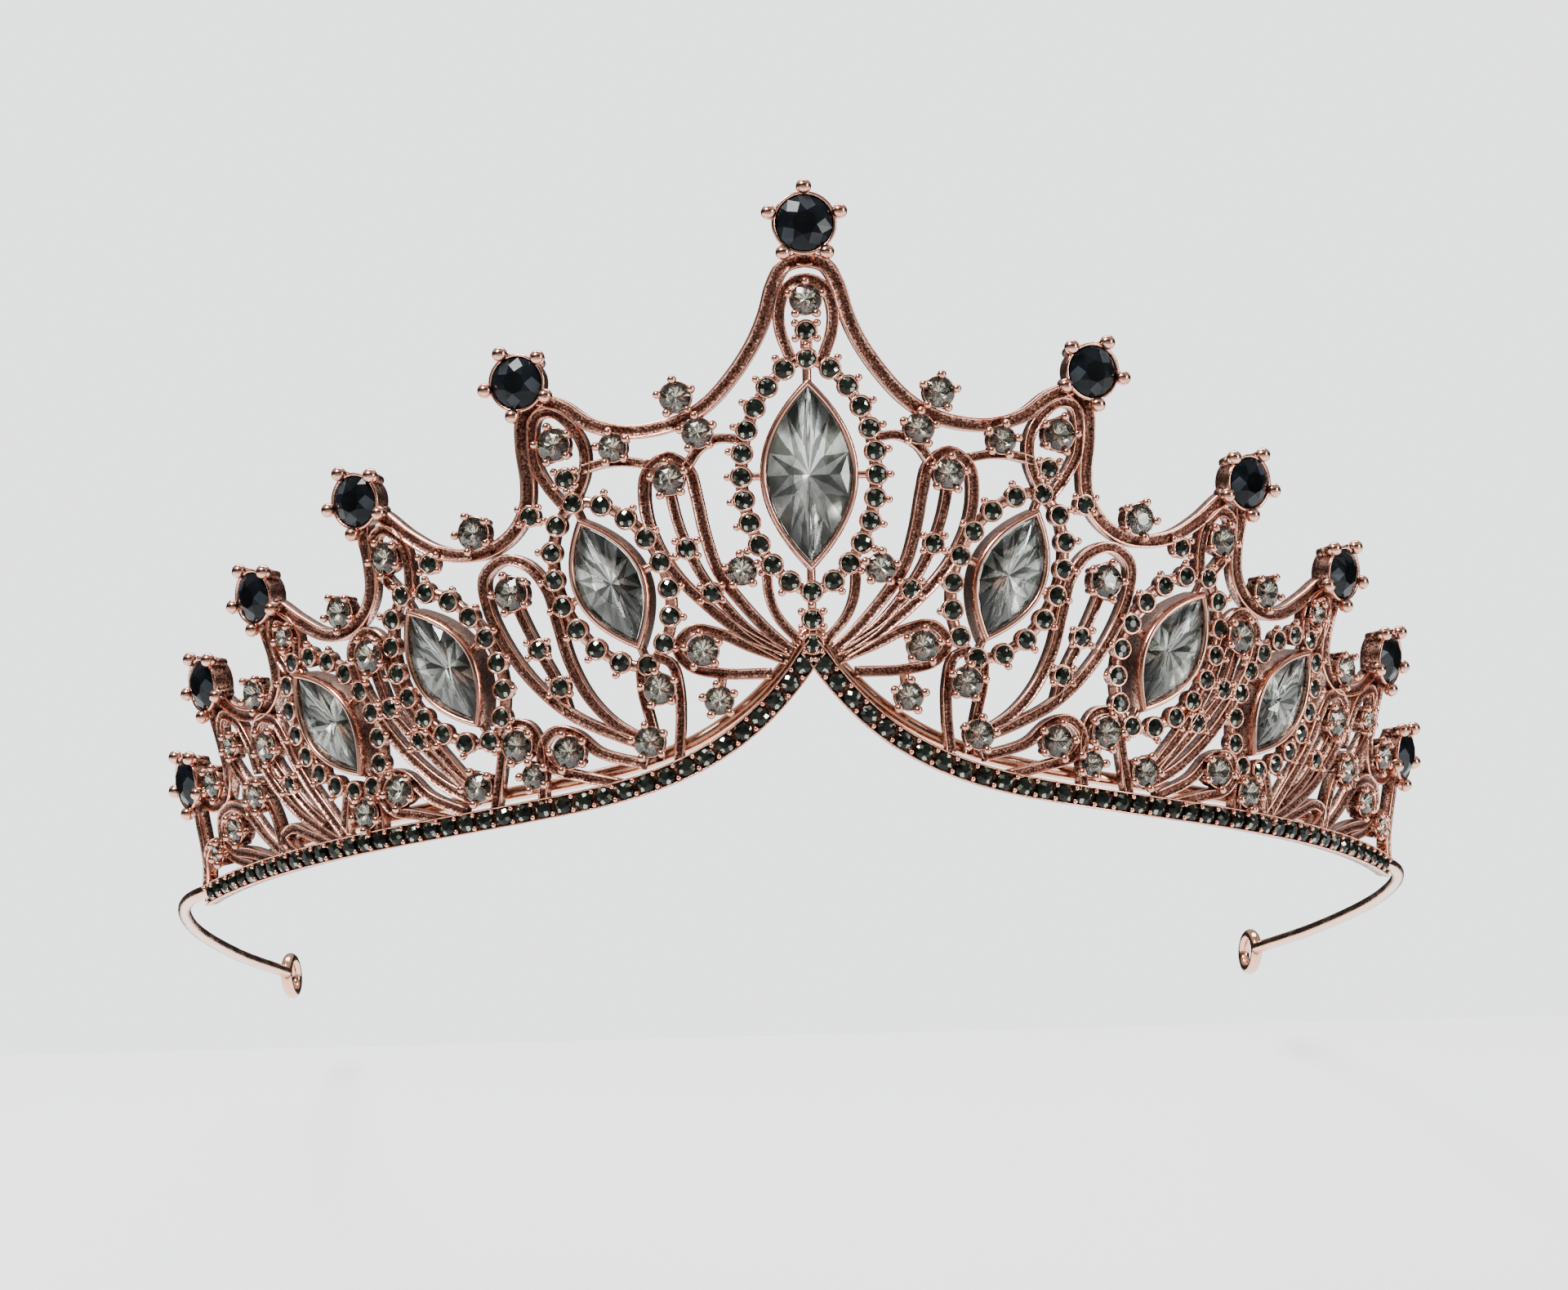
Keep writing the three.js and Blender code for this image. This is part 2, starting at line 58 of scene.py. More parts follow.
ARCH_FADE = 10.4
BACK = -0.8
PEAK_CUP_RADIUS = 3.25
CENTRE_CUP_RADIUS = 3.5
PEAK_CUP_TURN = -25
CENTRE_ROUND = (0, 58.0, 1.7)
SOLID_STONE_DEPTH = 1.6
SOLID_STONE_BACK = 1.1
SMALL_CUP_RADIUS = 1.28
ROUND_GIRDLE = 1.25
BEZEL_POWER = 2.0
HALO_POWER = 1.25
BAND_STONE_SPACING = 2.42
BAND_BEAD_OFFSET = 0.72
STALK_WIDTH = 1.0
STALK_REACH = 0.3
WIRE_RADIUS = 0.8
WIRE_SETBACK = 1.95
WIRE_RISE = 2.4
LOOP_BACK = 76.0
LOOP_LENGTH = 6.0
LOOP_HEIGHT = 6.4
FOOT_LEVEL = WALL_RADIUS * math.cos(BAND_HALF_LENGTH / HEAD_RADIUS) * math.sin(LEAN) - 0.2


def lean(x, y, z):
    """A point of the upright crown, leaned so that its foot lies level."""
    level = z * math.cos(LEAN) + y * math.sin(LEAN) + FOOT_LEVEL
    return Vector((x, y * math.cos(LEAN) - z * math.sin(LEAN), level))


def on_wall(u, v, w):
    """A laid-out point bent onto the flared wall, before the crown is centred on its footprint."""
    heading = u / HEAD_RADIUS
    reach = WALL_RADIUS + v * math.sin(FLARE) + w * math.cos(FLARE)
    height = v * math.cos(FLARE) - w * math.sin(FLARE)
    return lean(reach * math.sin(heading), -reach * math.cos(heading), height)


def narrowing(v):
    """The flared wall is longer round its top; this keeps a laid-out circle round at height v."""
    return HEAD_RADIUS / (WALL_RADIUS + v * math.sin(FLARE))


def centring():
    """How far the CAD moved the crown along Y, read from its centre round stone."""
    low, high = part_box("round_stone_centre")
    height, radius = CENTRE_ROUND[1:]
    depth = SOLID_STONE_DEPTH
    profile = ((0, 0), (radius * 0.55, 0), (radius, depth * 0.55), (radius * 0.6, depth), (0, depth))
    ys = []
    for girth, out in profile:
        for k in range(8):
            u = girth * math.sin(k * math.pi / 4) * narrowing(height)
            v = height + girth * math.cos(k * math.pi / 4)
            ys.append(on_wall(u, v, SOLID_STONE_BACK + out).y)
    return (low[1] + high[1]) / 2 / MM - (min(ys) + max(ys)) / 2


CENTRING = centring()


def in_row(point):
    return Vector((point.x, point.y + CENTRING, point.z)) * MM


def level_v(u):
    across = WALL_RADIUS * math.cos(u / HEAD_RADIUS) * math.sin(LEAN) - FOOT_LEVEL
    return across / (math.cos(FLARE) * math.cos(LEAN))


def band_v(u):
    away = abs(u)
    arch = ARCH_HEIGHT * math.exp(-away / ARCH_FADE)
    return level_v(max(away, FLAT_FROM)) + BAND_HALF_WIDTH - FOOT_DEPTH + arch


# ---------------------------------------------------------------- the laid-out pattern of one half
CENTRE_PEAK = (0, 66.2)
PEAKS = ((28.7, 50.9), (48.6, 40.6), (65.3, 32.5), (78.0, 24.5), (86.6, 14.3))
CENTRE_SITE = dict(u=0, v=38.9, tilt=0, wide=4.5, long=9.9, halo_wide=6.85, halo_long=12.7, count=24)
SITES = (
    dict(u=20.9, v=28.1, tilt=20.5, wide=3.5, long=7.3, halo_wide=5.75, halo_long=9.75, count=16),
    dict(u=40.6, v=20.8, tilt=27.5, wide=3.5, long=7.3, halo_wide=5.9, halo_long=9.75, count=16),
    dict(u=57.2, v=16.6, tilt=32.5, wide=3.4, long=7.1, halo_wide=5.7, halo_long=9.2, count=16),
)
ROUNDS = {
    "crest_1": (13.0, 47.9, 1.7),
    "crest_2": (35.3, 35.1, 1.8),
    "crest_3": (53.3, 28.7, 1.8),
    "crest_4": (69.0, 21.8, 1.8),
    "crest_5": (81.1, 13.2, 1.8),
    "leaf_1": (14.1, 39.0, 1.7),
    "leaf_2": (31.7, 28.0, 1.9),
    "leaf_3": (50.0, 23.3, 1.9),
    "leaf_4": (68.1, 15.6, 1.8),
    "peak_1": (25.7, 43.8, 1.8),
    "peak_2": (46.3, 33.8, 1.75),
    "petal_1": (11.5, 20.2, 1.7),
    "petal_2": (26.7, 10.1, 1.8),
    "petal_3": (48.1, 7.9, 1.75),
}
LESSER_ROUNDS = (
    (11.0, 43.9, 1.65),
    (19.6, 42.9, 1.55),
    (7.1, 28.7, 1.6),
    (10.0, 14.7, 1.55),
    (16.3, 16.3, 1.7),
    (17.7, 10.6, 1.65),
    (32.6, 11.3, 1.75),
    (30.9, 7.8, 1.4),
    (37.8, 7.2, 1.65),
    (53.2, 5.9, 1.65),
    (62.1, 27.3, 1.3),
    (71.6, 10.3, 1.6),
    (75.4, 16.8, 1.3),
    (77.3, 7.2, 1.6),
    (82.7, 5.2, 1.2),
)
LINKS = (
    (12.7, 31.4),
    (10.3, 26.4),
    (24.9, 40.0),
    (29.1, 36.3),
    (29.4, 21.6),
    (27.3, 17.3),
    (41.2, 32.5),
    (48.5, 17.2),
    (45.0, 13.1),
    (65.6, 10.8),
)
CREST = (
    ((-0.6, 62.5), (1.9, 61.8), (3.1, 59.6), (3.9, 56.6), (5.2, 53.4), (7.4, 49.9), (10, 47), (13, 45.2),
     (18, 44.5), (22, 45.7), (24.7, 47.9), (27.4, 49.2)),
    ((27, 48.9), (28.8, 47.2), (29.2, 44), (29, 40), (29.4, 37.2), (31, 34.7), (33.6, 33.1), (36.6, 32.8),
     (40, 33.6), (43.4, 35.8), (46.4, 38.5), (48.6, 39.6)),
    ((48.6, 39.2), (49.1, 37), (48.8, 33.5), (49.1, 30.2), (50.7, 27.8), (53.4, 26.5), (56.5, 26.7),
     (60.2, 28.8), (63.6, 31.2), (66.4, 32)),
    ((66, 31.8), (66, 29), (65.2, 25.5), (65.3, 22.6), (67, 20.4), (70, 19.6), (73.5, 20.3), (76.5, 22.2),
     (80, 24)),
    ((79.8, 23.8), (79.3, 21), (78.5, 17.5), (78.1, 13.8), (79.5, 11.3), (82.6, 10.7), (86, 11.8),
     (88.2, 12.8)),
    ((88.2, 12.8), (88.6, 10.4), (88.4, 7.4), (88.6, 4.6), (90, 2)),
)
DROPS = (
    ((-0.5, 60.3), (0.9, 60.1), (1.9, 59.2), (2.6, 57), (2.5, 54.6), (1.5, 51.4)),
    ((24.3, 37.2), (22.9, 40.4), (22.7, 43), (23.7, 45.4), (25.6, 47.3), (27.4, 47.2),
     (28.1, 45.2), (28, 42), (26.9, 39.4), (25.2, 36.9)),
    ((44, 29.4), (43.8, 32.6), (44.4, 35.2), (46.3, 37.1), (47.8, 36.5), (48, 34.2), (47.2, 32),
     (45.2, 29.6)),
    ((61.2, 24.2), (60.9, 27), (62, 29.2), (64, 29.9), (64.9, 28), (64.4, 25.6), (63, 23.4)),
    ((71.4, 13), (72.4, 16.4), (74.6, 19.6), (77.4, 20.6), (78.3, 18.6), (77, 15.2), (74.2, 11.8)),
)
LEAVES = (
    ((2.2, 19.7), (4.6, 22), (7.4, 25.4), (9.6, 28.8), (10.8, 33), (11.5, 37.2), (12.2, 40), (14.2, 41.5),
     (16.3, 40), (16.8, 37), (16.2, 33.2), (14.2, 29), (11.2, 25.4), (7.4, 22), (3, 19.2)),
    ((18.2, 10.6), (21.6, 12.9), (24.2, 16), (26, 20), (27, 24.4), (27.8, 28), (29.8, 30.9), (32.6, 31.8),
     (34.8, 30.2), (34.8, 27), (33.2, 22.6), (30.4, 18.2), (26.6, 14.4), (22.6, 12.1), (18.2, 10.2)),
    ((38.4, 6.6), (41.2, 10), (43.8, 13.4), (46.2, 17.4), (47.6, 21.4), (48.6, 24.9), (50.6, 26.1),
     (52.6, 24.6), (52.6, 21.6), (50.8, 17.4), (48, 13.2), (44.6, 9.6), (41.4, 7.2), (38.4, 5.8)),
    ((57, 3.2), (60, 7.2), (62.4, 10.4), (64, 13), (65.4, 16), (67, 18.4), (69.4, 18.9), (71, 17),
     (70.2, 13.8), (68, 10.6), (65, 7.6), (61.6, 5.2), (57.6, 2.8)),
    ((68, 2.6), (72, 5.8), (74.8, 8.6), (78, 10.1), (81.4, 9.4), (82.2, 7), (80, 5.2),
     (75.4, 4.1), (70, 2.4)),
)
RIBS = (
    ((14.2, 38), (13.6, 34.6), (12.7, 31.6), (11.4, 28.6), (9.6, 25.8), (6.6, 22.2), (3, 19.6)),
    ((31.8, 27.6), (30.6, 24.4), (29.4, 21.6), (27.4, 17.3), (26.6, 14.4)),
    ((50.4, 23.4), (49.6, 20.4), (48.5, 17.2), (46.6, 14.6), (44.8, 12.6), (42, 9.6), (39, 6.8)),
    ((69, 15.8), (67.4, 13), (65.6, 10.8), (63.4, 8.2), (60.2, 5.4)),
)
PETALS = (
    ((2.6, 18.8), (6.6, 20.4), (9.8, 22), (12.6, 22.5), (14.2, 20.6), (12.8, 18.5), (9.4, 17.6),
     (4.4, 17.4)),
    ((18.4, 8.2), (23.4, 9.8), (26, 12), (28.4, 12.5), (30, 10.8), (29, 8.6), (25.8, 7.4), (21.4, 6.2)),
    ((40, 4.6), (44.6, 6.8), (47.4, 9.4), (50, 9.8), (51.2, 8), (50, 6), (46.4, 5), (42, 3.8)),
    ((59.4, 3), (63.6, 4.8), (66.2, 5.8), (68.2, 5), (66.6, 3.2), (63, 2.2)),
)
TIES = (
    ((6.9, 43), (9, 43.2), (11, 42.2), (12.4, 40.2)),
    ((16.2, 40.8), (18.6, 41.3), (21, 41.3), (23.2, 40.8)),
    ((4.6, 28.4), (4.4, 25.8), (3.5, 23.4), (1.2, 20.6)),
    ((14.8, 8.4), (14.3, 12.6), (14.3, 16.4), (15, 19), (16.8, 19.9)),
    ((18.3, 18.8), (18.2, 16), (17.6, 13), (16.8, 8.4)),
    ((30.4, 4.8), (30.2, 8.6), (30.3, 11.4), (31.4, 13.4), (33.8, 13.9)),
    ((34.4, 12), (35.2, 8.6), (36.3, 4.4)),
    ((52, 3), (51.8, 6.2), (52.8, 9)),
    ((56.2, 8.6), (57, 6), (57.8, 2.8)),
    ((68.6, 3), (69.2, 7), (70.8, 10.4), (72.6, 12.2), (74.6, 11.4), (74.6, 8.4)),
    ((75, 2.6), (80, 4.2), (84, 6.6), (87, 6.2), (88.4, 5)),
)

# ---------------------------------------------------------------- sections: (across, out, polish)
# Cast ribbon: flat back, straight sides, a raised polished lip along each edge and a hollow face.
RIBBON = (
    (-0.94, BACK, 0.15), (-1.0, 0.25, 0.55), (-0.97, 0.52, 0.95), (-0.84, 0.66, 1.0), (-0.66, 0.6, 0.7),
    (-0.46, 0.42, 0.12), (0, 0.34, 0.0), (0.46, 0.42, 0.12), (0.66, 0.6, 0.7), (0.84, 0.66, 1.0),
    (0.97, 0.52, 0.95), (1.0, 0.25, 0.55), (0.94, BACK, 0.15),
)
RAIL = (
    (-0.9, BACK, 0.1), (-1.0, -0.1, 0.4), (-0.7, 0.22, 0.8), (0, 0.3, 0.9), (0.7, 0.22, 0.8),
    (1.0, -0.1, 0.4),
    (0.9, BACK, 0.1),
)
BAND = (
    (-0.97, BACK, 0.2), (-1.0, 0.5, 0.7), (-0.93, 0.72, 1.0), (-0.82, 0.62, 0.8), (-0.76, 0.1, 0.0),
    (0.76, 0.1, 0.0), (0.82, 0.66, 0.8), (0.93, 0.8, 1.0), (1.0, 0.6, 0.8), (0.97, BACK, 0.2),
)


# ---------------------------------------------------------------- mesh building
class Sculpt:
    """Laid-out points with their polish, and faces with their material number."""

    def __init__(self):
        self.points = []
        self.polish = []
        self.faces = []
        self.smooth = []
        self.kinds = []

    def add(self, points, faces, polish, smooth=True, kind=0):
        start = len(self.points)
        self.points.extend(points)
        self.polish.extend(polish)
        for k, face in enumerate(faces):
            self.faces.append(tuple(start + i for i in face))
            self.smooth.append(smooth)
            self.kinds.append(kind if isinstance(kind, int) else kind[k])

    def mirror(self):
        start = len(self.points)
        count = len(self.faces)
        self.points.extend([(-u, v, w) for u, v, w in self.points])
        self.polish.extend(list(self.polish))
        for k in range(count):
            self.faces.append(tuple(start + i for i in reversed(self.faces[k])))
            self.smooth.append(self.smooth[k])
            self.kinds.append(self.kinds[k])

    def piece(self, name, materials, nodes=(), bend=True):
        mesh = bpy.data.meshes.new(name)
        if bend:
            spots = [in_row(on_wall(*p)) for p in self.points]
        else:
            spots = [in_row(p) for p in self.points]
        mesh.from_pydata(spots, [], self.faces)
        mesh.polygons.foreach_set("use_smooth", self.smooth)
        mesh.polygons.foreach_set("material_index", self.kinds)
        polish = mesh.attributes.new("polish", "FLOAT", "POINT")
        polish.data.foreach_set("value", self.polish)
        for material in materials:
            mesh.materials.append(material)
        mesh.update()
        obj = bpy.data.objects.new(name, mesh)
        bpy.context.scene.collection.objects.link(obj)
        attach(obj, "root")
        if nodes:
            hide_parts(*nodes)


def smooth_line(points, step):
    """Centripetal Catmull-Rom curve through the points, resampled at even steps."""
    spots = [Vector(p) for p in points]
    ends = [2 * spots[0] - spots[1]] + spots + [2 * spots[-1] - spots[-2]]
    dense = [spots[0]]
    for k in range(len(spots) - 1):
        p0, p1, p2, p3 = ends[k : k + 4]
        t0, t1, t2 = (max((b - a).length, 1e-6) ** 0.5 for a, b in ((p0, p1), (p1, p2), (p2, p3)))
        m1 = ((p1 - p0) / t0 - (p2 - p0) / (t0 + t1) + (p2 - p1) / t1) * t1
        m2 = ((p2 - p1) / t1 - (p3 - p1) / (t1 + t2) + (p3 - p2) / t2) * t1
        pieces = max(6, int((p2 - p1).length / 0.1))
        for i in range(1, pieces + 1):
            t = i / pieces
            h1 = 2 * t**3 - 3 * t**2 + 1
            h2 = t**3 - 2 * t**2 + t
            h3 = -2 * t**3 + 3 * t**2
            h4 = t**3 - t**2
            dense.append(p1 * h1 + m1 * h2 + p2 * h3 + m2 * h4)
    return even(dense, step)


def even(dense, step, closed=False):
    if closed:
        dense = dense + [dense[0]]
    along = [0.0]
    for a, b in zip(dense, dense[1:]):
        along.append(along[-1] + (b - a).length)
    count = max(2, round(along[-1] / step))
    row = []
    k = 0
    for i in range(count if closed else count + 1):
        target = along[-1] * i / count
        while k < len(along) - 2 and along[k + 1] < target:
            k += 1
        span = along[k + 1] - along[k] or 1.0
        row.append(dense[k].lerp(dense[k + 1], (target - along[k]) / span))
    return row


def ring_faces(rings, around, closed_along=False):
    """Quads between successive rings of the same number of points."""
    faces = []
    for r in range(rings if closed_along else rings - 1):
        s = (r + 1) % rings
        for i in range(around):
            j = (i + 1) % around
            faces.append((r * around + i, r * around + j, s * around + j, s * around + i))
    return faces


def ribbon(sculpt, points, width, section=RIBBON, step=0.55):
    row = smooth_line(points, step)
    spots = []
    polish = []
    for i, p in enumerate(row):
        ahead = (row[min(i + 1, len(row) - 1)] - row[max(i - 1, 0)]).normalized()
        side = Vector((-ahead.y, ahead.x))
        for across, out, shine in reversed(section):
            q = p + side * across * width / 2
            spots.append((q.x, q.y, out))
            polish.append(shine)
    count = len(section)
    faces = ring_faces(len(row), count)
    faces.append(tuple(range(count)))
    faces.append(tuple(reversed(range((len(row) - 1) * count, len(row) * count))))
    sculpt.add(spots, [tuple(reversed(f)) for f in faces], polish)


def lathe(sculpt, u, v, profile, sides):
    """Turned form about the wall's normal at (u, v).

    The profile is (radius, out, polish) from back to front.
    """
    spots = []
    polish = []
    for radius, out, shine in profile:
        for k in range(sides):
            angle = 2 * math.pi * k / sides
            spots.append((u + radius * math.cos(angle) * narrowing(v), v + radius * math.sin(angle), out))
            polish.append(shine)
    faces = ring_faces(len(profile), sides)
    faces.append(tuple(reversed(range(sides))))
    faces.append(tuple(range((len(profile) - 1) * sides, len(profile) * sides)))
    sculpt.add(spots, faces, polish)


def bead(sculpt, u, v, radius, out, foot, sides):
    """Upright ball-tipped pin: a thin post from foot up to a round bead centred at out."""
    profile = [(radius * 0.55, foot, 0.3), (radius * 0.55, out - radius * 0.8, 0.5)]
    for k in range(1, 7):
        angle = -math.pi / 2 + math.pi * (k + 0.6) / 7.4
        profile.append((max(radius * math.cos(angle), 0.02), out + radius * math.sin(angle), 1.0))
    lathe(sculpt, u, v, profile, sides)


def prong(sculpt, u, v, bearing, foot, head, radius, sides=12):
    """Leaning ball-tipped prong; foot and head are (distance from the centre, height out)."""
    foot = Vector(foot)
    head = Vector(head)
    axis = (head - foot).normalized()
    rings = [(0.0, radius * 0.72, 0.1), ((head - foot).length - radius * 0.75, radius * 0.68, 0.3)]
    for k in range(1, 8):
        angle = -math.pi / 2 + math.pi * (k + 0.6) / 8.2
        along = (head - foot).length + radius * math.sin(angle)
        rings.append((along, max(radius * math.cos(angle), 0.02), 0.9))
    spots = []
    polish = []
    for along, girth, shine in rings:
        middle = foot + axis * along
        for k in range(sides):
            turn = 2 * math.pi * k / sides
            outward = middle.x + axis.y * girth * math.cos(turn)
            height = middle.y - axis.x * girth * math.cos(turn)
            aside = girth * math.sin(turn)
            across = outward * math.cos(bearing) - aside * math.sin(bearing)
            upward = outward * math.sin(bearing) + aside * math.cos(bearing)
            spots.append((u + across * narrowing(v), v + upward, height))
            polish.append(shine)
    faces = ring_faces(len(rings), sides)
    faces.append(tuple(reversed(range(sides))))
    faces.append(tuple(range((len(rings) - 1) * sides, len(rings) * sides)))
    sculpt.add(spots, faces, polish)


def almond(site, wide, long, power, angle):
    tilt = math.radians(site["tilt"])
    across = math.copysign(wide * abs(math.cos(angle)) ** power, math.cos(angle))
    along = long * math.sin(angle)
    return (
        site["u"] + across * math.cos(tilt) + along * math.sin(tilt),
        site["v"] - across * math.sin(tilt) + along * math.cos(tilt),
    )


def almond_rings(sculpt, site, wide, long, power, rings, sides):
    """Rings round a pointed oval, each (offset, out, polish), joined into one wall."""
    spots = []
    polish = []
    for offset, out, shine in rings:
        for k in range(sides):
            angle = 2 * math.pi * k / sides
            reach = offset * (1.5 if power > 1.5 else 1.0)
            u, v = almond(site, wide + offset, long + reach, power, angle)
            spots.append((u, v, out))
            polish.append(shine)
    sculpt.add(spots, ring_faces(len(rings), sides, closed_along=True), polish)


# ---------------------------------------------------------------- stones
# Crown facets that get a painted glint (a brighter material on the dark and black stones), by their
# number round the stone.
PAINTED_GLINT_KITES = (1, 4, 6)
PAINTED_GLINT_TRIANGLES = (2, 5)


def cut_stone(sculpt, outline, centre, girdle, crown, back, table, sides, turn):
    """Brilliant cut: outline(angle, grow) gives the edge.

    Material 0 is the table, 1 and 4 the halves of the pavilion facets (4 a painted shade on the
    round and marquise stones), 2 a few crown facets that take a painted glint on the dark and black
    stones and 3 the rest of the crown (a painted sheen on the black stones).
    """
    step = 2 * math.pi / sides
    spots = [(*outline(turn + (k + 0.5) * step, table), girdle + crown) for k in range(sides)]
    shoulder_grow = (1 + table) / 2 + 0.02
    spots += [(*outline(turn + k * step, shoulder_grow), girdle + crown * 0.58) for k in range(sides)]
    for level in (girdle, girdle - 0.08):
        spots += [(*outline(turn + k * step / 2, 1.0), level) for k in range(2 * sides)]
    spots += [(*outline(turn + k * step, 0.42), girdle - back * 0.62) for k in range(sides)]
    spots.append((*centre, girdle - back))
    shoulder = sides
    edge = 2 * sides
    under = 4 * sides
    low = 6 * sides
    tip = 7 * sides
    faces = [tuple(range(sides))]
    kinds = [0]
    for k in range(sides):
        before = (k - 1) % sides
        after = (k + 1) % sides
        faces.append((k, before, shoulder + k))
        faces.append((k, shoulder + k, edge + 2 * k + 1, shoulder + after))
        faces.append((shoulder + k, edge + (2 * k) % (2 * sides), edge + 2 * k + 1))
        faces.append((shoulder + k, edge + (2 * k - 1) % (2 * sides), edge + 2 * k))
        # Kind 2 is the painted glint on a few kites and triangles, kind 3 the rest of the crown.
        kinds += [3, 2 if k % 8 in PAINTED_GLINT_KITES else 3, 3, 2 if k % 8 in PAINTED_GLINT_TRIANGLES else 3]
    for k in range(2 * sides):
        after = (k + 1) % (2 * sides)
        faces.append((edge + k, under + k, under + after, edge + after))
        kinds.append(3)
    for k in range(sides):
        after = (k + 1) % sides
        faces.append((under + 2 * k, low + k, under + 2 * k + 1))
        faces.append((under + 2 * k + 1, low + k, tip))
        faces.append((under + 2 * k + 1, tip, low + after))
        faces.append((under + 2 * k + 1, low + after, under + (2 * k + 2) % (2 * sides)))
        # Kinds 4 and 1 alternate, so every other pavilion facet can take a painted shade.
        kinds += [4, 1, 4, 1]
    sculpt.add(spots, faces, [0.0] * len(spots), False, kinds)


def round_stone(sculpt, u, v, radius, girdle, crown, back, table, turn):
    def outline(angle, grow):
        return u + radius * grow * math.cos(angle) * narrowing(v), v + radius * grow * math.sin(angle)

    cut_stone(sculpt, outline, (u, v), girdle, crown, back, table, 8, turn)


# ---------------------------------------------------------------- settings
def small_cup(casting, stones, u, v, bearings):
    """Round cup of a small dark stone, with a bead at each bearing on its outside."""
    radius = SMALL_CUP_RADIUS
    profile = (
        (radius * 0.88, BACK, 0.1), (radius * 0.97, -0.1, 0.25), (radius, 0.4, 0.5),
        (radius * 0.95, 0.6, 0.95),
        (radius * 0.84, 0.66, 1.0), (radius * 0.75, 0.56, 0.5), (radius * 0.7, 0.2, 0.0),
    )
    lathe(casting, u, v, profile, 18)
    round_stone(stones, u, v, radius * 0.74, 0.5, 0.26, 0.6, 0.42, 0.3 + u)
    for bearing in bearings:
        prong(casting, u, v, bearing, (radius * 0.88, 0.0), (radius * 1.14, 0.6), 0.44, 12)


def round_setting(casting, stones, u, v, radius, turn=0.0):
    """Round basket with five ball prongs that hold a round stone."""
    girdle = ROUND_GIRDLE
    profile = (
        (radius * 0.95, BACK, 0.1), (radius * 1.02, -0.2, 0.2), (radius * 0.9, 0.3, 0.2),
        (radius * 1.02, 0.8, 0.5), (radius * 1.07, 1.0, 0.95), (radius * 1.0, 1.1, 1.0),
        (radius * 0.93, 0.95, 0.3), (radius * 0.5, 0.4, 0.0),
    )
    lathe(casting, u, v, profile, 28)
    round_stone(stones, u, v, radius * 0.96, girdle, radius * 0.34, radius * 0.5, 0.42, turn + 0.2)
    for k in range(5):
        bearing = math.radians(turn) + math.pi / 2 + 2 * math.pi * k / 5
        prong(casting, u, v, bearing, (radius * 0.95, BACK + 0.2), (radius * 1.14, girdle + 0.12), 0.5)


def stalk(casting, u, v, radius):
    """Short bar that holds a setting on the nearest line of the pattern, where it doesn't touch one."""
    middle = Vector((u, v))
    lines = (*CREST, *DROPS, *LEAVES, *RIBS, *PETALS, *TIES)
    spots = [Vector(p) for line in lines for p in smooth_line(line, 0.4)]
    band = [Vector((k * 0.5, band_v(k * 0.5))) for k in range(int(2 * BAND_HALF_LENGTH))]
    nearest = min(spots + band, key=lambda p: (p - middle).length)
    if (nearest - middle).length > radius + STALK_REACH:
        ribbon(casting, ((u, v), tuple(nearest)), STALK_WIDTH, RAIL, 0.4)


def peak_setting(casting, stones, u, v, turn, radius):
    """Cup on a crest peak with five ball prongs and a black stone."""
    profile = (
        (radius * 0.84, BACK, 0.1), (radius * 0.88, 0.0, 0.2), (radius * 0.93, 0.7, 0.45),
        (radius * 0.95, 1.5, 0.6), (radius, 1.8, 0.9), (radius * 0.985, 2.05, 1.0),
        (radius * 0.92, 2.08, 1.0), (radius * 0.88, 1.9, 0.3), (radius * 0.86, 0.6, 0.0),
    )
    lathe(casting, u, v, profile, 48)
    round_stone(stones, u, v, radius * 0.865, 1.95, 0.85, 1.3, 0.44, math.radians(turn) + 0.2)
    for k in range(5):
        bearing = math.radians(turn) + math.pi / 2 + 2 * math.pi * k / 5
        prong(casting, u, v, bearing, (radius * 0.9, -0.3), (radius * 1.13, 2.1), 0.84, 16)


BEZEL_WALL = (
    (0.42, -2.5, 0.2), (0.46, 0.6, 0.55), (0.4, 1.15, 0.8), (0.22, 1.42, 1.0), (0.0, 1.46, 1.0),
    (-0.16, 1.3, 0.9), (-0.24, 0.9, 0.2), (-0.3, 0.2, 0.0), (-0.3, -2.2, 0.0), (0.1, -2.55, 0.3),
)
HALO_RAIL = (
    (-0.62, BACK, 0.1), (-0.66, -0.1, 0.3), (-0.5, 0.24, 0.7), (0.5, 0.24, 0.7), (0.66, -0.1, 0.3),
    (0.62, BACK, 0.1),
)


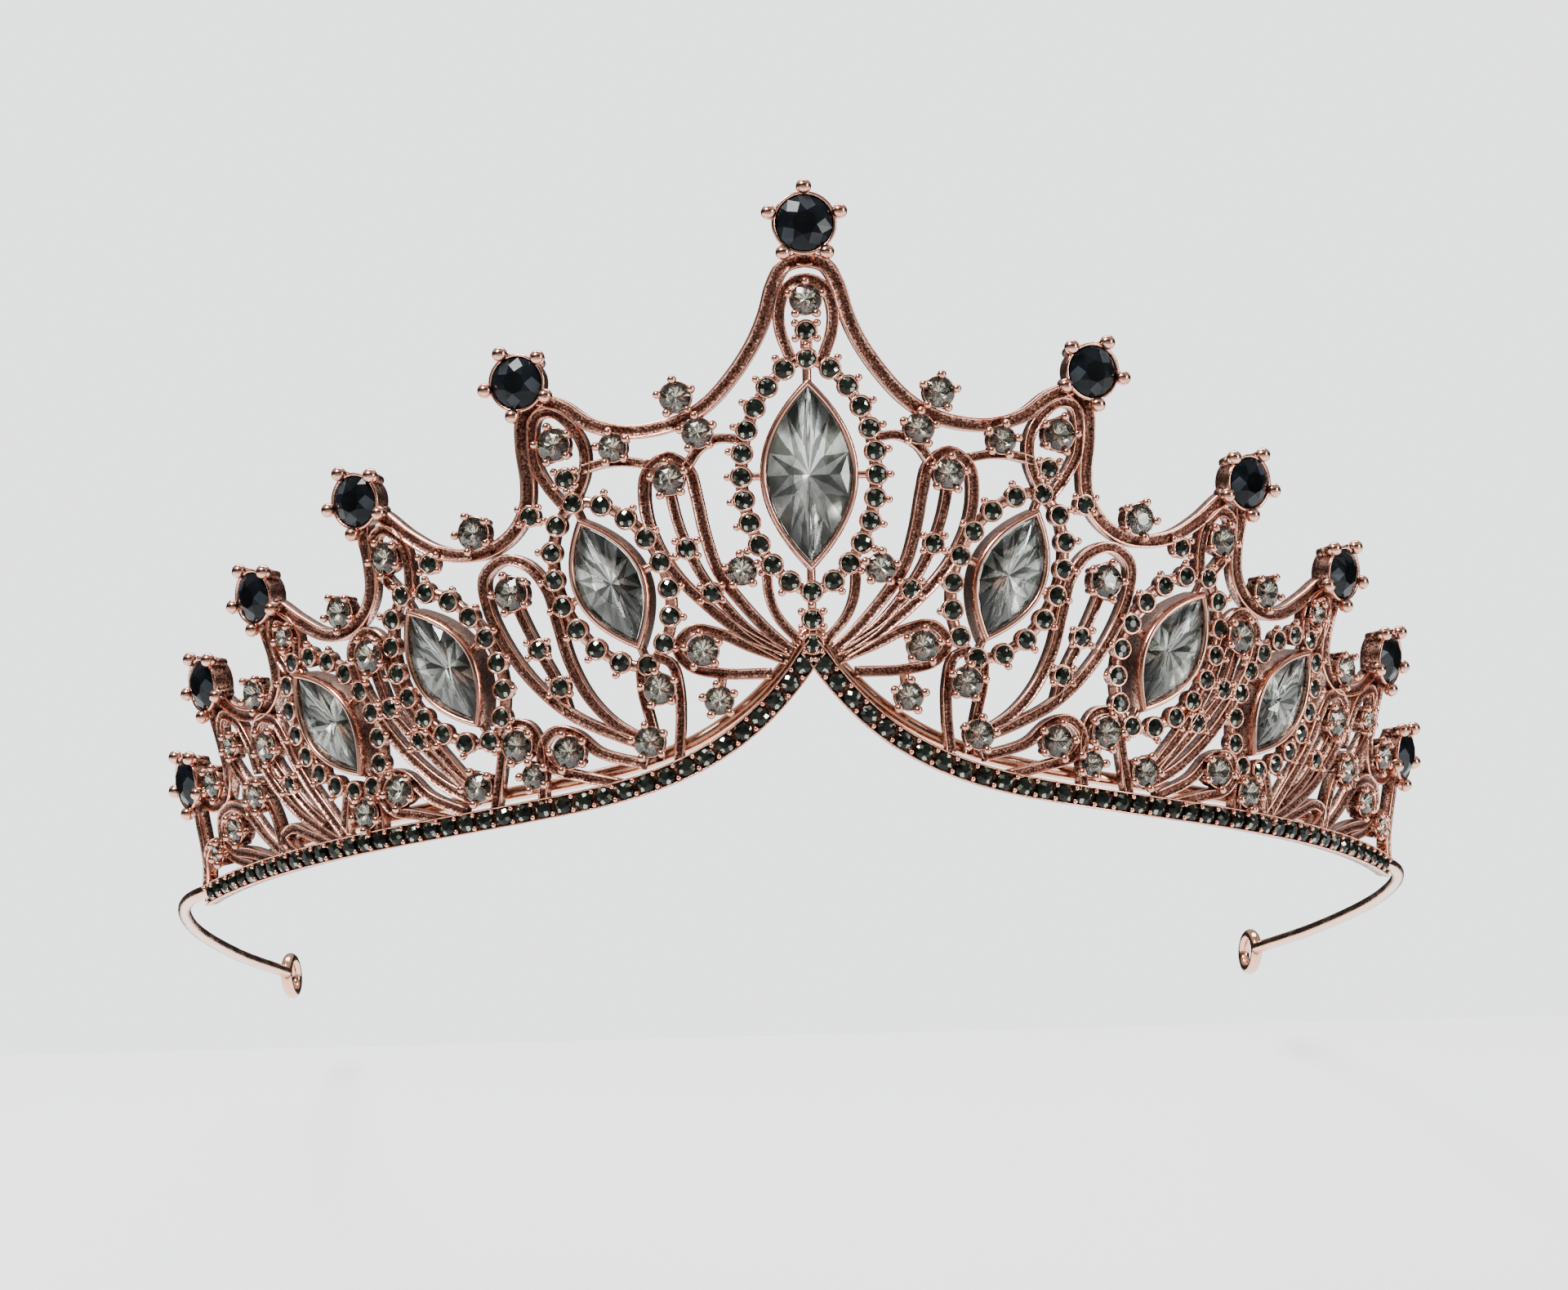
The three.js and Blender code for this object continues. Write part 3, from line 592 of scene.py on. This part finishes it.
def marquise(casting, crystals, stones, site):
    """Bezel with its pointed-oval crystal, the halo of small cups round it and the bars between."""
    bezel = tuple(reversed(BEZEL_WALL))
    rail = tuple(reversed(HALO_RAIL))
    almond_rings(casting, site, site["wide"], site["long"], BEZEL_POWER, bezel, 96)
    almond_rings(casting, site, site["halo_wide"], site["halo_long"], HALO_POWER, rail, 72)
    wide = site["wide"] - 0.27
    long = site["long"] - 0.42

    def outline(angle, grow):
        return almond(site, wide * grow, long * grow, BEZEL_POWER, angle)

    cut_stone(crystals, outline, (site["u"], site["v"]), 0.95, 1.0, 1.9, 0.4, 12, math.pi / 2)
    dense = []
    for k in range(720):
        angle = math.pi / 2 + 2 * math.pi * k / 720
        dense.append(Vector(almond(site, site["halo_wide"], site["halo_long"], HALO_POWER, angle)))
    length = sum((b - a).length for a, b in zip(dense, dense[1:] + dense[:1]))
    row = even(dense, length / site["count"], closed=True)
    middle = Vector((site["u"], site["v"]))
    for k, p in enumerate(row):
        ahead = (row[(k + 1) % len(row)] - row[k - 1]).normalized()
        outward = Vector((ahead.y, -ahead.x))
        if outward.dot(p - middle) < 0:
            outward = -outward
        small_cup(casting, stones, p.x, p.y, (math.atan2(outward.y, outward.x),))
    tilt = math.radians(site["tilt"])
    lengthwise = Vector((math.sin(tilt), math.cos(tilt)))
    crosswise = Vector((math.cos(tilt), -math.sin(tilt)))
    for direction, near, far in (
        (lengthwise, site["long"], site["halo_long"]),
        (-lengthwise, site["long"], site["halo_long"]),
        (crosswise, site["wide"], site["halo_wide"]),
        (-crosswise, site["wide"], site["halo_wide"]),
    ):
        start = middle + direction * near
        end = middle + direction * far
        ribbon(casting, (tuple(start), tuple(end)), 0.9, RAIL, 0.4)


def base_band(casting, stones):
    """Channel of the base band with its row of stones and the beads between them."""
    half = []
    u = -0.4
    while u < BAND_HALF_LENGTH:
        half.append((u, band_v(max(u, 0)) + (0 if u >= 0 else 0.3)))
        u += 1.0 if u < 24 else 3.0
    half.append((BAND_HALF_LENGTH, band_v(BAND_HALF_LENGTH)))
    ribbon(casting, half, 2 * BAND_HALF_WIDTH, BAND)
    row = smooth_line(half, BAND_STONE_SPACING)
    for k, p in enumerate(row[:-1]):
        ahead = (row[k + 1] - row[max(k - 1, 0)]).normalized()
        side = Vector((-ahead.y, ahead.x))
        if k:
            round_stone(stones, p.x, p.y, 1.0, 0.55, 0.36, 0.5, 0.42, 0.3 + k)
        middle = (p + row[k + 1]) / 2
        for across in (-BAND_BEAD_OFFSET, BAND_BEAD_OFFSET):
            q = middle + side * across
            bead(casting, q.x, q.y, 0.3, 0.72, foot=0.0, sides=8)


# ---------------------------------------------------------------- headband wire
def wire_line():
    spots = []
    arm_end = lean(68.6, LOOP_BACK - LOOP_LENGTH, 2.9)
    arm_middle = lean(76.0, 8, 2.2)
    for side in (-1, 1):
        arm = [
            Vector((side * arm_end.x, arm_end.y, arm_end.z)),
            Vector((side * 73.2, 45, lean(0, 45, 2.6).z)),
            Vector((side * arm_middle.x, arm_middle.y, arm_middle.z)),
            Vector((side * 73.8, -16, lean(0, -16, 2.2).z)),
        ]
        front = [
            on_wall(side * u, band_v(u) + WIRE_RISE * min(1, (100 - u) / 34), -WIRE_SETBACK)
            for u in (88, 74, 60, 46, 34, 25, 18, 12, 7, 3)
        ]
        half = arm + front
        if side < 0:
            spots += half + [on_wall(0, band_v(0) + WIRE_RISE * 0.9, -WIRE_SETBACK)]
        else:
            spots += half[::-1]
    return spots


def tube(sculpt, points, radius, step, sides=16, closed=False):
    """Round wire along a space curve; its ring is carried along without twist."""
    row = smooth_line(points, step) if not closed else even([Vector(p) for p in points], step, True)
    spots = []
    count = len(row)
    side = None
    for i, p in enumerate(row):
        if closed:
            ahead = (row[(i + 1) % count] - row[i - 1]).normalized()
        else:
            ahead = (row[min(i + 1, count - 1)] - row[max(i - 1, 0)]).normalized()
        if side is None:
            across = Vector((1, 0, 0)) if closed else Vector((0, 0, 1))
            side = ahead.cross(across).normalized()
        side = (side - ahead * side.dot(ahead)).normalized()
        up = side.cross(ahead)
        for k in range(sides):
            angle = 2 * math.pi * k / sides
            spots.append(p + side * radius * math.cos(angle) + up * radius * math.sin(angle))
    faces = ring_faces(count, sides, closed_along=closed)
    if not closed:
        faces.append(tuple(reversed(range(sides))))
        faces.append(tuple(range((count - 1) * sides, count * sides)))
    sculpt.add(spots, faces, [1.0] * len(spots))


def end_loop(sculpt, side):
    start = lean(68.6, LOOP_BACK - LOOP_LENGTH, 2.9)
    spots = []
    for k in range(96):
        angle = -math.pi + 2 * math.pi * k / 96
        back = start.y + (LOOP_LENGTH / 2) * (1 + math.cos(angle))
        up = start.z + (LOOP_HEIGHT / 2 - WIRE_RADIUS) * math.sin(angle)
        spots.append(Vector((side * (start.x - 0.16 * (back - start.y)), back, up)))
    tube(sculpt, spots, WIRE_RADIUS * 0.98, 0.35, 16, closed=True)


# ---------------------------------------------------------------- materials
def new_material(name):
    material = bpy.data.materials.new(name)
    material.use_nodes = True
    tree = material.node_tree
    shader = tree.nodes["Principled BSDF"]
    return material, tree, shader


def mix_colour(tree, factor, first, second):
    node = tree.nodes.new("ShaderNodeMix")
    node.data_type = "RGBA"
    tree.links.new(factor, node.inputs["Factor"])
    for socket, value in ((node.inputs[6], first), (node.inputs[7], second)):
        if hasattr(value, "is_output"):
            tree.links.new(value, socket)
        else:
            socket.default_value = (*value, 1.0)
    return node.outputs[2]


def spread(tree, value, low, high, out_low=0.0, out_high=1.0):
    node = tree.nodes.new("ShaderNodeMapRange")
    tree.links.new(value, node.inputs["Value"])
    node.inputs["From Min"].default_value = low
    node.inputs["From Max"].default_value = high
    node.inputs["To Min"].default_value = out_low
    node.inputs["To Max"].default_value = out_high
    return node.outputs["Result"]


def noise(tree, scale, detail, rough):
    place = tree.nodes.new("ShaderNodeTexCoord")
    node = tree.nodes.new("ShaderNodeTexNoise")
    node.inputs["Scale"].default_value = scale
    node.inputs["Detail"].default_value = detail
    node.inputs["Roughness"].default_value = rough
    tree.links.new(place.outputs["Object"], node.inputs["Vector"])
    return node.outputs["Fac"]


def combine(tree, operation, first, second):
    node = tree.nodes.new("ShaderNodeMath")
    node.operation = operation
    for socket, value in ((node.inputs[0], first), (node.inputs[1], second)):
        if isinstance(value, (int, float)):
            socket.default_value = value
        else:
            tree.links.new(value, socket)
    return node.outputs[0]


def bump(tree, height, strength, distance):
    node = tree.nodes.new("ShaderNodeBump")
    node.inputs["Strength"].default_value = strength
    node.inputs["Distance"].default_value = distance
    tree.links.new(height, node.inputs["Height"])
    return node.outputs["Normal"]


def antique_copper():
    """Rose-gold plate, polished on the lips and beads, with a grainy dark patina in the hollows."""
    material, tree, shader = new_material("antique_copper")
    worn = tree.nodes.new("ShaderNodeAttribute")
    worn.attribute_name = "polish"
    grain = noise(tree, 4200, 5, 0.65)
    cloud = noise(tree, 420, 3, 0.5)
    speck = spread(tree, grain, 0.36, 0.66, -0.42, 0.42)
    drift = spread(tree, cloud, 0.3, 0.7, -0.16, 0.16)
    level = combine(tree, "ADD", worn.outputs["Fac"], combine(tree, "ADD", speck, drift))
    bright = spread(tree, level, 0.22, 0.78)
    patina = mix_colour(tree, spread(tree, grain, 0.4, 0.6), (0.022, 0.009, 0.007), (0.20, 0.082, 0.058))
    plate = mix_colour(tree, cloud, (0.78, 0.36, 0.25), (0.88, 0.50, 0.375))
    tree.links.new(mix_colour(tree, bright, patina, plate), shader.inputs["Base Color"])
    tree.links.new(spread(tree, bright, 0, 1, 0.45, 0.17), shader.inputs["Roughness"])
    shader.inputs["Metallic"].default_value = 1.0
    height = combine(tree, "MULTIPLY", grain, spread(tree, worn.outputs["Fac"], 0, 1, 1.0, 0.12))
    tree.links.new(bump(tree, height, 0.6, 0.00008), shader.inputs["Normal"])
    return material


def bright_copper():
    material, tree, shader = new_material("bright_copper")
    cloud = noise(tree, 260, 3, 0.5)
    grain = noise(tree, 2600, 3, 0.5)
    plate = mix_colour(tree, cloud, (0.80, 0.40, 0.25), (0.90, 0.54, 0.39))
    tree.links.new(plate, shader.inputs["Base Color"])
    tree.links.new(spread(tree, cloud, 0.3, 0.7, 0.14, 0.26), shader.inputs["Roughness"])
    shader.inputs["Metallic"].default_value = 1.0
    tree.links.new(bump(tree, grain, 0.25, 0.00002), shader.inputs["Normal"])
    return material


def crystal(name, dark, light, transmission, rough=0.0, specular=0.5, scale=300):
    material, tree, shader = new_material(name)
    cloud = noise(tree, scale, 2, 0.5)
    glass = mix_colour(tree, spread(tree, cloud, 0.35, 0.65), dark, light)
    tree.links.new(glass, shader.inputs["Base Color"])
    shader.inputs["Roughness"].default_value = rough
    shader.inputs["IOR"].default_value = 1.56
    shader.inputs["Specular IOR Level"].default_value = specular
    shader.inputs["Transmission Weight"].default_value = transmission
    return material


def foil(name, dark, light, rough):
    material, tree, shader = new_material(name)
    cloud = noise(tree, 500, 2, 0.5)
    tree.links.new(mix_colour(tree, cloud, dark, light), shader.inputs["Base Color"])
    shader.inputs["Metallic"].default_value = 1.0
    shader.inputs["Roughness"].default_value = rough
    return material


# ---------------------------------------------------------------- build
COPPER = antique_copper()
WIRE_COPPER = bright_copper()
GREY = crystal("grey_crystal", (0.93, 0.94, 0.94), (0.97, 0.975, 0.97), 1.0)
GREY_FOIL = foil("grey_foil", (0.84, 0.86, 0.83), (0.95, 0.96, 0.93), 0.22)
# Painted shade: a dark copy of the foil on every other pavilion facet of the marquises.
GREY_SHADE = foil("grey_shade", (0.13, 0.14, 0.12), (0.42, 0.43, 0.38), 0.2)
CHAMPAGNE = crystal("champagne_crystal", (0.84, 0.82, 0.75), (0.92, 0.90, 0.84), 1.0)
CHAMPAGNE_FOIL = foil("champagne_foil", (0.42, 0.41, 0.36), (0.64, 0.62, 0.56), 0.14)
# Painted shade: a dark copy of the foil on every other pavilion facet of the round stones.
CHAMPAGNE_SHADE = foil("champagne_shade", (0.10, 0.095, 0.08), (0.20, 0.19, 0.16), 0.2)
JET = crystal("jet_crystal", (0.002, 0.0022, 0.0025), (0.004, 0.0045, 0.005), 0.0, 0.05, 0.15)
# Painted sheen: a slightly lighter, bluer copy of jet on the crown facets round the darker table.
JET_PAINTED_SHEEN = crystal("jet_painted_sheen", (0.003, 0.004, 0.005), (0.008, 0.010, 0.013), 0.0, 0.14, 0.12)
# Painted glint: a lighter copy of jet on a few crown facets.
JET_PAINTED_GLINT = crystal("jet_painted_glint", (0.022, 0.027, 0.033), (0.045, 0.052, 0.062), 0.0, 0.18, 0.14)
DARK = crystal("dark_crystal", (0.002, 0.003, 0.0022), (0.012, 0.015, 0.010), 0.0, 0.06, 0.2, 900)
# Painted glint: a bright mirror foil on a few crown facets of the dark halo and band stones.
PAINTED_GLINT = foil("painted_glint_foil", (0.14, 0.165, 0.12), (0.40, 0.43, 0.34), 0.1)


def nodes_named(start):
    return [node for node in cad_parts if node.startswith(start)]


RIBBON_WIDTHS = ((CREST, 1.6), (DROPS, 1.2), (LEAVES, 1.3), (RIBS, 1.1), (PETALS, 1.25), (TIES, 1.1))


def casting_and_small_stones():
    casting = Sculpt()
    dark = Sculpt()
    rounds = Sculpt()
    crystals = Sculpt()
    jets = Sculpt()
    for lines, width in RIBBON_WIDTHS:
        for line in lines:
            ribbon(casting, line, width)
    base_band(casting, dark)
    for u, v in PEAKS:
        peak_setting(casting, jets, u, v, PEAK_CUP_TURN, PEAK_CUP_RADIUS)
    for site in SITES:
        marquise(casting, crystals, dark, site)
    for u, v, radius in tuple(ROUNDS.values()) + LESSER_ROUNDS:
        round_setting(casting, rounds, u, v, radius, -u * 0.5)
        stalk(casting, u, v, radius)
    pins = [math.radians(angle) for angle in (35, 145, 215, 325)]
    for u, v in LINKS:
        small_cup(casting, dark, u, v, pins)
        stalk(casting, u, v, 0.8)
    for part in (casting, dark, rounds, crystals, jets):
        part.mirror()
    marquise(casting, crystals, dark, CENTRE_SITE)
    peak_setting(casting, jets, *CENTRE_PEAK, 0, CENTRE_CUP_RADIUS)
    round_setting(casting, rounds, *CENTRE_ROUND)
    small_cup(casting, dark, 0, 54.6, pins)
    small_cup(casting, dark, 0, 23.2, pins)
    small_cup(casting, dark, 0, 20.5, pins[:2])
    ribbon(casting, ((0, 54), (0, 51)), 1.2)
    ribbon(casting, ((0, 62.2), (0, 64.4)), 2.2)
    ribbon(casting, ((0, 26.4), (0, 19.6)), 0.9)
    casting.piece("crown", [COPPER], ["crown_casting"])
    dark.piece("halo_and_band_stones", [DARK, DARK, PAINTED_GLINT, DARK, DARK])
    champagne = [CHAMPAGNE, CHAMPAGNE_FOIL, CHAMPAGNE, CHAMPAGNE, CHAMPAGNE_SHADE]
    rounds.piece("round_stones", champagne, nodes_named("round_"))
    grey = [GREY, GREY_FOIL, GREY, GREY, GREY_SHADE]
    crystals.piece("marquises", grey, nodes_named("marquise"))
    jets.piece("peak_stones", [JET, JET, JET_PAINTED_GLINT, JET_PAINTED_SHEEN, JET], nodes_named("jet_"))


def headband():
    wire = Sculpt()
    tube(wire, wire_line(), WIRE_RADIUS, 0.8)
    for side in (-1, 1):
        end_loop(wire, side)
    wire.piece("headband", [WIRE_COPPER], ["headband_wire"], bend=False)


casting_and_small_stones()
headband()

# ---------------------------------------------------------------- camera
TARGET = Vector((0, 0, 35.0))
DISTANCE = 560.1
ELEVATION = math.radians(-10.63)
YAW = math.radians(-2.29)
ROLL = math.radians(-1.70)
FOCAL = 5395.0
PICTURE_WIDTH = 1920.0


def turned(vector):
    """A direction of the upright crown, leaned as the crown is."""
    return Vector(
        (
            vector.x,
            vector.y * math.cos(LEAN) - vector.z * math.sin(LEAN),
            vector.z * math.cos(LEAN) + vector.y * math.sin(LEAN),
        )
    )


def camera():
    """Camera below and in front of the crown, placed against the upright crown and leaned with it."""
    back = Vector(
        (math.sin(YAW) * math.cos(ELEVATION), -math.cos(YAW) * math.cos(ELEVATION), math.sin(ELEVATION))
    )
    right = Vector((math.cos(YAW), math.sin(YAW), 0))
    up = back.cross(right)
    right_rolled = right * math.cos(ROLL) + up * math.sin(ROLL)
    up_rolled = up * math.cos(ROLL) - right * math.sin(ROLL)
    place = TARGET + back * DISTANCE
    data = bpy.data.cameras.new("camera")
    data.sensor_width = 36.0
    data.lens = FOCAL * 36.0 / PICTURE_WIDTH
    data.clip_start = 0.01
    data.clip_end = 20
    obj = bpy.data.objects.new("camera", data)
    x, y, z = (turned(v) for v in (right_rolled, up_rolled, back))
    spot = in_row(lean(place.x, place.y, place.z))
    obj.matrix_world = Matrix(
        ((x.x, y.x, z.x, spot.x), (x.y, y.y, z.y, spot.y), (x.z, y.z, z.z, spot.z), (0, 0, 0, 1))
    )
    bpy.context.scene.collection.objects.link(obj)
    bpy.context.scene.camera = obj


# ---------------------------------------------------------------- stage
SLOPE = math.radians(36)
FLOOR_LEVEL = 0.0008
FLOOR_CREASE = 0.100
FLOOR_START = -1.2
FLOOR_LENGTH = 1.9
FLOOR_STEPS = 60
FLOOR_HALF_WIDTH = 1.6


def floor():
    """Pale sheet: level behind the end loops, falling away under the raised front of the tiara."""
    material, tree, shader = new_material("pale_floor")
    cloud = noise(tree, 6, 3, 0.5)
    pale = mix_colour(tree, cloud, (0.80, 0.81, 0.82), (0.86, 0.87, 0.88))
    tree.links.new(pale, shader.inputs["Base Color"])
    shader.inputs["Roughness"].default_value = 0.6
    shader.inputs["Emission Color"].default_value = (0.96, 0.98, 1.0, 1)
    shader.inputs["Emission Strength"].default_value = 0.92
    rows = []
    for k in range(FLOOR_STEPS + 1):
        t = FLOOR_START + k * FLOOR_LENGTH / FLOOR_STEPS
        if t <= 0:
            rows.append((FLOOR_CREASE + t * math.cos(SLOPE), FLOOR_LEVEL + t * math.sin(SLOPE)))
        else:
            rows.append((FLOOR_CREASE + t, FLOOR_LEVEL))
    mesh = bpy.data.meshes.new("floor")
    spots = [(x, y, z) for y, z in rows for x in (-FLOOR_HALF_WIDTH, FLOOR_HALF_WIDTH)]
    faces = [(2 * k, 2 * k + 1, 2 * k + 3, 2 * k + 2) for k in range(len(rows) - 1)]
    mesh.from_pydata(spots, [], faces)
    mesh.materials.append(material)
    mesh.polygons.foreach_set("use_smooth", [True] * len(faces))
    obj = bpy.data.objects.new("floor", mesh)
    bpy.context.scene.collection.objects.link(obj)


def softbox(name, place, aim, width, height, power):
    data = bpy.data.lights.new(name, "AREA")
    data.shape = "RECTANGLE"
    data.size = width
    data.size_y = height
    data.energy = power
    obj = bpy.data.objects.new(name, data)
    obj.location = place
    obj.rotation_euler = (Vector(aim) - Vector(place)).to_track_quat("-Z", "Y").to_euler()
    bpy.context.scene.collection.objects.link(obj)


# The room that the metal reflects: (share of the way from below to above, grey).
ROOM_GREYS = ((0.36, 1.0), (0.44, 0.4), (0.475, 0.06), (0.70, 0.03), (0.80, 0.9), (0.88, 0.9))


def lights():
    world = bpy.data.worlds.new("studio")
    bpy.context.scene.world = world
    world.use_nodes = True
    tree = world.node_tree
    backdrop = tree.nodes["Background"]
    backdrop.inputs["Color"].default_value = (0.80, 0.82, 0.84, 1)
    backdrop.inputs["Strength"].default_value = 3.0
    room = tree.nodes.new("ShaderNodeBackground")
    place = tree.nodes.new("ShaderNodeTexCoord")
    split = tree.nodes.new("ShaderNodeSeparateXYZ")
    tree.links.new(place.outputs["Generated"], split.inputs[0])
    ramp = tree.nodes.new("ShaderNodeValToRGB")
    tree.links.new(spread(tree, split.outputs["Z"], -1, 1), ramp.inputs["Fac"])
    stops = ramp.color_ramp.elements
    stops[0].position = 0.0
    stops[0].color = (0.9, 0.91, 0.92, 1)
    stops[1].position = 1.0
    stops[1].color = (0.25, 0.25, 0.26, 1)
    for position, grey in ROOM_GREYS:
        stop = stops.new(position)
        stop.color = (grey, grey, grey * 1.02, 1)
    tree.links.new(ramp.outputs["Color"], room.inputs["Color"])
    room.inputs["Strength"].default_value = 0.6
    path = tree.nodes.new("ShaderNodeLightPath")
    mix = tree.nodes.new("ShaderNodeMixShader")
    tree.links.new(path.outputs["Is Camera Ray"], mix.inputs["Fac"])
    tree.links.new(room.outputs[0], mix.inputs[1])
    tree.links.new(backdrop.outputs[0], mix.inputs[2])
    tree.links.new(mix.outputs[0], tree.nodes["World Output"].inputs["Surface"])
    softbox("key", (-0.35, -0.55, 0.55), (0, 0, 0.02), 0.22, 0.22, 9)
    softbox("fill", (0.6, -0.45, 0.1), (0, 0, 0.03), 0.12, 0.4, 3)
    softbox("top", (0.0, 0.1, 0.7), (0, 0, 0.0), 0.6, 0.25, 6)


camera()
floor()
lights()
